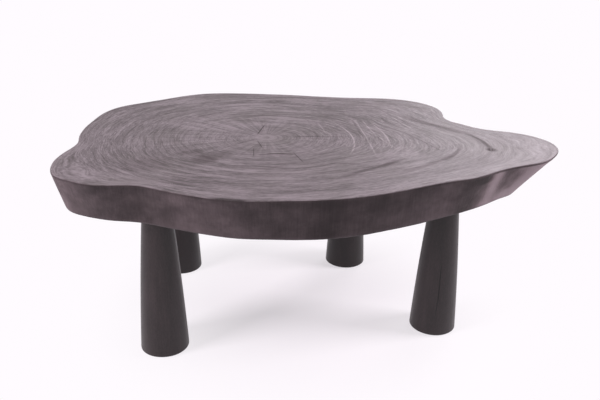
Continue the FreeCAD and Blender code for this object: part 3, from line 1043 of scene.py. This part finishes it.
def zinc_finish(name, tint):
    """Zinc: a cloudy tint and roughness, with fine scratches round the thread."""
    material, start = new_finish(name)
    place = start.place()
    cloud = start.grain(place, *ZINC_CLOUD)
    scratch = start.grain(place, *ZINC_SCRATCH)
    dull = colour(*(CLOUDED * part for part in tint))
    scratch.finish(
        {"Metallic": 1.0},
        {"Base Color": cloud.step(0.3, 0.7).blend(dull, colour(*tint)), "Roughness": 0.28 + cloud * 0.22},
        bump_distance=0.05 * MM,
        bump_strength=0.3,
    )
    return material


def nylon_finish():
    """Dark moulded plastic with a fine pebble and slightly scuffed tone."""
    material, start = new_finish("glide_nylon")
    place = start.place()
    pebble = start.grain(place, *NYLON_PEBBLE)
    scuff = start.grain(place, *NYLON_SCUFF)
    paint = scuff.step(0.4, 0.75).blend(NYLON_DARK, NYLON_SCUFFED)
    pebble.finish(
        {"Specular IOR Level": 0.4},
        {"Base Color": paint, "Roughness": 0.45 + scuff * 0.2},
        bump_distance=0.06 * MM,
        bump_strength=0.4,
    )
    return material


HARDWARE = {
    "hanger_bolt": zinc_finish("bolt_zinc", (0.62, 0.62, 0.60)),
    "threaded_insert": zinc_finish("insert_zinc", (0.68, 0.67, 0.63)),
    "glide_screw": zinc_finish("screw_zinc", (0.66, 0.63, 0.52)),
    "foot_glide": nylon_finish(),
}
for kind, material in HARDWARE.items():
    for place in LEG_PLACES:
        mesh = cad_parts[f"{kind}_{place}"].data
        mesh.materials.clear()
        mesh.materials.append(material)
print("hardware finishes:", sorted(HARDWARE))

# %% [markdown]
# ## Floor and light
#
# The photograph has a white floor and soft light from all round, a little stronger from behind on the
# right, which lays a sheen over the beak's end of the top. A bright world does most of that, and four
# large lamps do the rest. The floor is partly white by itself, more so away from the table, so that it
# runs into the background and still keeps the shadow. The two side lamps stand low, and the top would
# mirror them as a white glare when it is seen from an end, so they light the table but don't show in
# reflections.

# %% Floor, world and lamps
FLOOR_SIZE = 40.0
FLOOR_WHITE = colour(0.96, 0.915, 0.95)
SHOWN_WHITE = colour(1.0, 0.965, 1.0)
SHOWN_SHARE = 0.42
FLOOR_FADE = (0.05, 0.55)
AMBIENT = 0.24
LAMPS = {
    "overhead_softbox": {"place": (0.0, 0.2, 2.5), "aim": (0.0, 0.0, 0.4), "size": 1.3, "power": 14.0},
    "left_softbox": {"place": (-1.9, -1.2, 1.0), "aim": (0.0, 0.0, 0.3), "size": 0.8, "power": 52.0},
    "right_softbox": {"place": (2.1, 0.0, 1.0), "aim": (0.0, 0.0, 0.3), "size": 1.0, "power": 52.0},
    "back_right_window": {"place": (1.6, 3.0, 1.4), "aim": (0.3, 0.0, 0.4), "size": 1.8, "power": 32.0},
}
UNMIRRORED_LAMPS = ("left_softbox", "right_softbox")


def seen_or_mirrored(start):
    """1 where the camera, a reflection or something clear looks, and 0 for light that bounces."""
    kinds = ("Is Camera Ray", "Is Glossy Ray", "Is Transmission Ray")
    camera, glossy, clear = (start.node("ShaderNodeLightPath", output=kind) for kind in kinds)
    return camera.maths("MAXIMUM", camera.maths("MAXIMUM", camera, glossy), clear)


def white_floor():
    """A level square under the table, far wider than the view, partly lit and partly white by itself."""
    half = FLOOR_SIZE / 2
    corners = [(-half, -half, 0.0), (half, -half, 0.0), (half, half, 0.0), (-half, half, 0.0)]
    mesh = bpy.data.meshes.new("white_floor")
    mesh.from_pydata(corners, [], [(0, 1, 2, 3)])
    floor = bpy.data.objects.new("white_floor", mesh)
    bpy.context.scene.collection.objects.link(floor)
    material, start = new_finish("white_floor")
    lit = start.node("ShaderNodeBsdfDiffuse", None, {"Color": FLOOR_WHITE})
    white = start.node("ShaderNodeEmission", None, {"Color": SHOWN_WHITE, "Strength": 1.0})
    x, y = start.place()[:2]
    far = (x * x + y * y).root().step(*FLOOR_FADE)
    share = seen_or_mirrored(start) * (SHOWN_SHARE + far * (1.0 - SHOWN_SHARE))
    surface = start.node("ShaderNodeMixShader", None, {0: share, 1: lit, 2: white})
    start.node("ShaderNodeOutputMaterial", None, {"Surface": surface})
    mesh.materials.append(material)


def bright_world():
    """White all round: full strength where it is seen or mirrored, less as light."""
    world = bpy.data.worlds.new("bright_world")
    world.use_nodes = True
    world.node_tree.nodes.clear()
    start = Wire(world.node_tree)
    strength = seen_or_mirrored(start) * (1.0 - AMBIENT) + AMBIENT
    sky = start.node("ShaderNodeBackground", None, {"Color": SHOWN_WHITE, "Strength": strength})
    start.node("ShaderNodeOutputWorld", None, {"Surface": sky})
    bpy.context.scene.world = world


def soft_lamp(name, place, aim, size, power):
    """A square lamp at a place, facing a point. An unmirrored one is left out of reflections."""
    lamp = bpy.data.objects.new(name, bpy.data.lights.new(name, "AREA"))
    bpy.context.scene.collection.objects.link(lamp)
    lamp.data.size = size
    lamp.data.energy = power
    lamp.data.color = SHOWN_WHITE[:3]
    lamp.visible_glossy = name not in UNMIRRORED_LAMPS
    away = Vector(place) - Vector(aim)
    lamp.matrix_world = Matrix.Translation(place) @ away.to_track_quat("Z", "Y").to_matrix().to_4x4()


white_floor()
bright_world()
for name, lamp in LAMPS.items():
    soft_lamp(name, **lamp)
bpy.context.scene.view_settings.view_transform = "Standard"
print("lamps:", list(LAMPS), "not mirrored:", UNMIRRORED_LAMPS)
